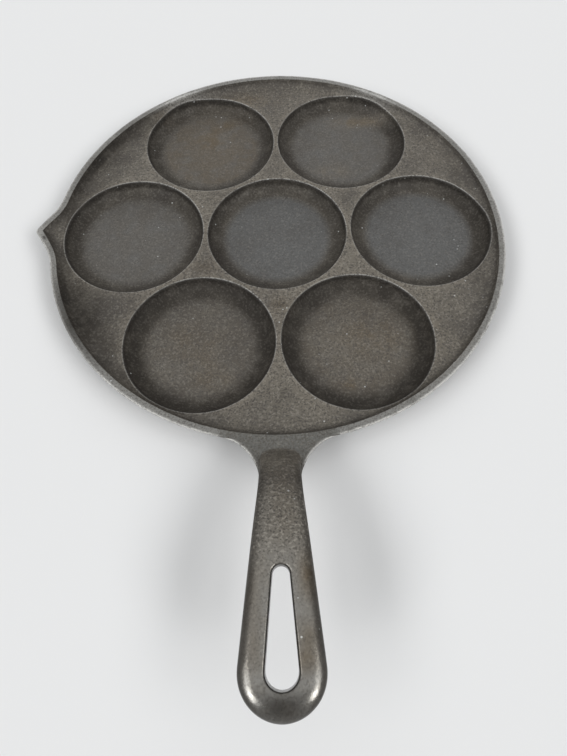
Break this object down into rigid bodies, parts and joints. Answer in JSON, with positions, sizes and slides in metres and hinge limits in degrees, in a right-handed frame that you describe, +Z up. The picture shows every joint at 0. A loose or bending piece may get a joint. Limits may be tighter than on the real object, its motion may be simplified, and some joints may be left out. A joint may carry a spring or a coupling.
{
  "type": "multi-cup cast-iron pan",
  "caption": "Cast-iron pan with shallow round cups for small flat cakes, a low coved rim with a pouring lip, and a raised slotted handle.",
  "frame": {"origin": "on the table, under the middle of the centre cup's flat underside", "axes": "+Z up out of the cups, +Y away from the handle, the pouring lip towards -X"},
  "size_m": [0.2448, 0.3358, 0.043],
  "materials": {
    "seasoned_iron": "seasoned, sand-cast grain, satin on worn places"
  },
  "bodies": {
    "root": {"web_plate": "seasoned_iron", "rim_wall": "seasoned_iron", "pour_spout": "seasoned_iron", "cup_center": "seasoned_iron", "cup_right": "seasoned_iron", "cup_rear_right": "seasoned_iron", "cup_rear_left": "seasoned_iron", "cup_left": "seasoned_iron", "cup_front_left": "seasoned_iron", "cup_front_right": "seasoned_iron", "handle": "seasoned_iron"}
  },
  "joints": []
}
